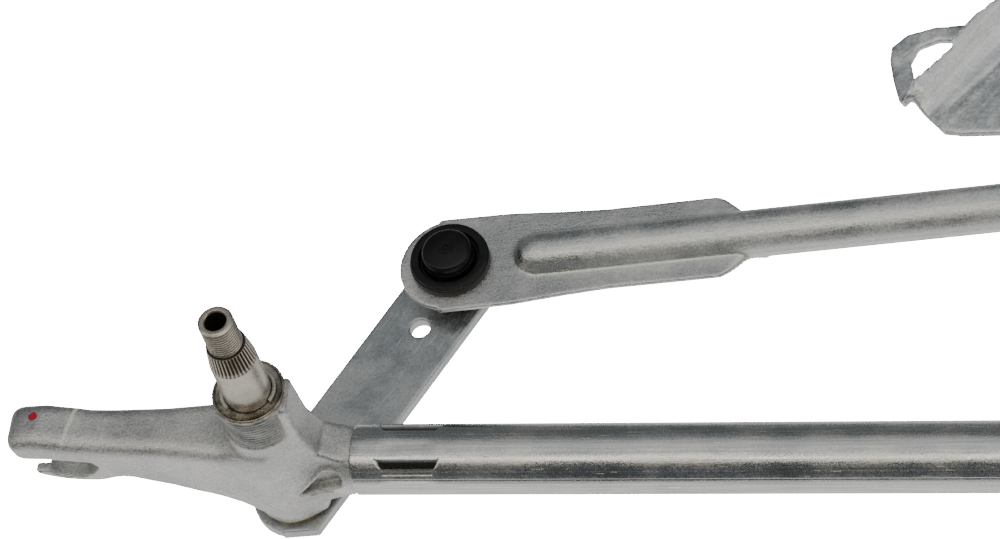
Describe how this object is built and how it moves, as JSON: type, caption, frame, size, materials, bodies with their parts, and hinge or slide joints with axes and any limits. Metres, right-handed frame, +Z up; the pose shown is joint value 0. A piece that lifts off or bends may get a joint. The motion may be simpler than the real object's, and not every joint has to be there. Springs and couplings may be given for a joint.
{
  "type": "windshield wiper linkage",
  "caption": "Windscreen wiper linkage: cross tube with cast pivot housings, splined spindles, levers, pressed ball-joint links, motor bracket and gear motor.",
  "frame": {"origin": "on the left spindle's axis, halfway along its M10 thread", "axes": "+Z up both spindles towards their threads, +X along the cross tube from the left housing to the right one, +Y towards the ball joints at rest"},
  "size_m": [0.67, 0.163, 0.1125],
  "materials": {
    "drawn_zinc": "zinc plated drawn tube, long draw lines",
    "cast_aluminium": "as cast, matt with fine grain",
    "bronze": "sintered oil-filled bronze",
    "polished_steel": "ground and lightly polished, warm tone",
    "spring_steel": "dark phosphated spring steel",
    "zinc_yellow": "yellow passivated",
    "zinc_plate": "blue zinc plate, cloudy with light scratches",
    "ball_steel": "hardened, greased",
    "link_zinc": "zinc plated pressing, fine sparkle",
    "black_plastic": "moulded, satin black",
    "bracket_zinc": "zinc plated pressing with drawing streaks",
    "painted_can": "black e-coat, semi matt",
    "ferrite": "sintered ferrite",
    "brush_plastic": "phenolic board",
    "core_steel": "laminated steel with enamelled winding",
    "copper": "turned copper",
    "gear_nylon": "natural nylon"
  },
  "bodies": {
    "frame": {"cross_tube": "drawn_zinc", "left_pivot_housing": "cast_aluminium", "right_pivot_housing": "cast_aluminium", "left_upper_bush": "bronze", "left_lower_bush": "bronze", "right_upper_bush": "bronze", "right_lower_bush": "bronze", "motor_bracket": "bracket_zinc", "gear_case": "cast_aluminium", "gear_lid": "black_plastic", "bracket_screw_1": "zinc_plate", "bracket_screw_2": "zinc_plate", "bracket_screw_3": "zinc_plate", "motor_can": "painted_can", "magnet_ring": "ferrite", "brush_holder": "brush_plastic", "connector": "black_plastic"},
    "left_arm": {"left_spindle": "polished_steel", "left_ring_washer": "polished_steel", "left_circlip": "spring_steel", "left_thrust_washer": "zinc_yellow", "left_lever": "zinc_plate", "left_ball_stud": "ball_steel"},
    "right_arm": {"right_spindle": "polished_steel", "right_ring_washer": "polished_steel", "right_circlip": "spring_steel", "right_thrust_washer": "zinc_yellow", "right_lever": "zinc_plate", "right_ball_stud": "ball_steel"},
    "crank": {"crank_arm": "zinc_plate", "upper_crank_ball": "ball_steel", "lower_crank_ball": "ball_steel", "output_shaft": "polished_steel", "crank_nut": "zinc_plate", "worm_wheel": "gear_nylon"},
    "left_link": {"left_link": "link_zinc", "left_outer_socket": "black_plastic", "left_crank_socket": "black_plastic"},
    "right_link": {"right_link": "link_zinc", "right_outer_socket": "black_plastic", "right_crank_socket": "black_plastic"},
    "armature": {"armature_shaft": "polished_steel", "armature_core": "core_steel", "commutator": "copper", "worm": "polished_steel"}
  },
  "joints": [
    {"name": "crank_turn", "type": "hinge", "parent": "frame", "child": "crank", "pos_m": [0.26355, 0.0277, -0.0861], "axis": [0, 0, 1], "range_deg": [0, 85]},
    {"name": "left_wipe", "type": "hinge", "parent": "frame", "child": "left_arm", "pos_m": [0, 0, -0.0861], "axis": [0, 0, 1], "range_deg": [0, 85]},
    {"name": "right_wipe", "type": "hinge", "parent": "frame", "child": "right_arm", "pos_m": [0.52, 0, -0.0861], "axis": [0, 0, 1], "range_deg": [0, 85]},
    {"name": "left_link_ball", "type": "hinge", "parent": "left_arm", "child": "left_link", "pos_m": [0.0385, 0.0724, -0.0782], "axis": [0, 0, 1], "range_deg": [-85, 0]},
    {"name": "right_link_ball", "type": "hinge", "parent": "right_arm", "child": "right_link", "pos_m": [0.5585, 0.0724, -0.098], "axis": [0, 0, 1], "range_deg": [-85, 0]},
    {"name": "armature_spin", "type": "hinge", "parent": "frame", "child": "armature", "pos_m": [0.30555, 0.059, -0.0347], "axis": [1, 0, 0], "range_deg": [0, 4250]}
  ],
  "couplings": [
    {"joint": "left_wipe", "follows": "crank_turn", "ratio": 1},
    {"joint": "right_wipe", "follows": "crank_turn", "ratio": 1},
    {"joint": "left_link_ball", "follows": "crank_turn", "ratio": -1},
    {"joint": "right_link_ball", "follows": "crank_turn", "ratio": -1},
    {"joint": "armature_spin", "follows": "crank_turn", "ratio": 50}
  ]
}
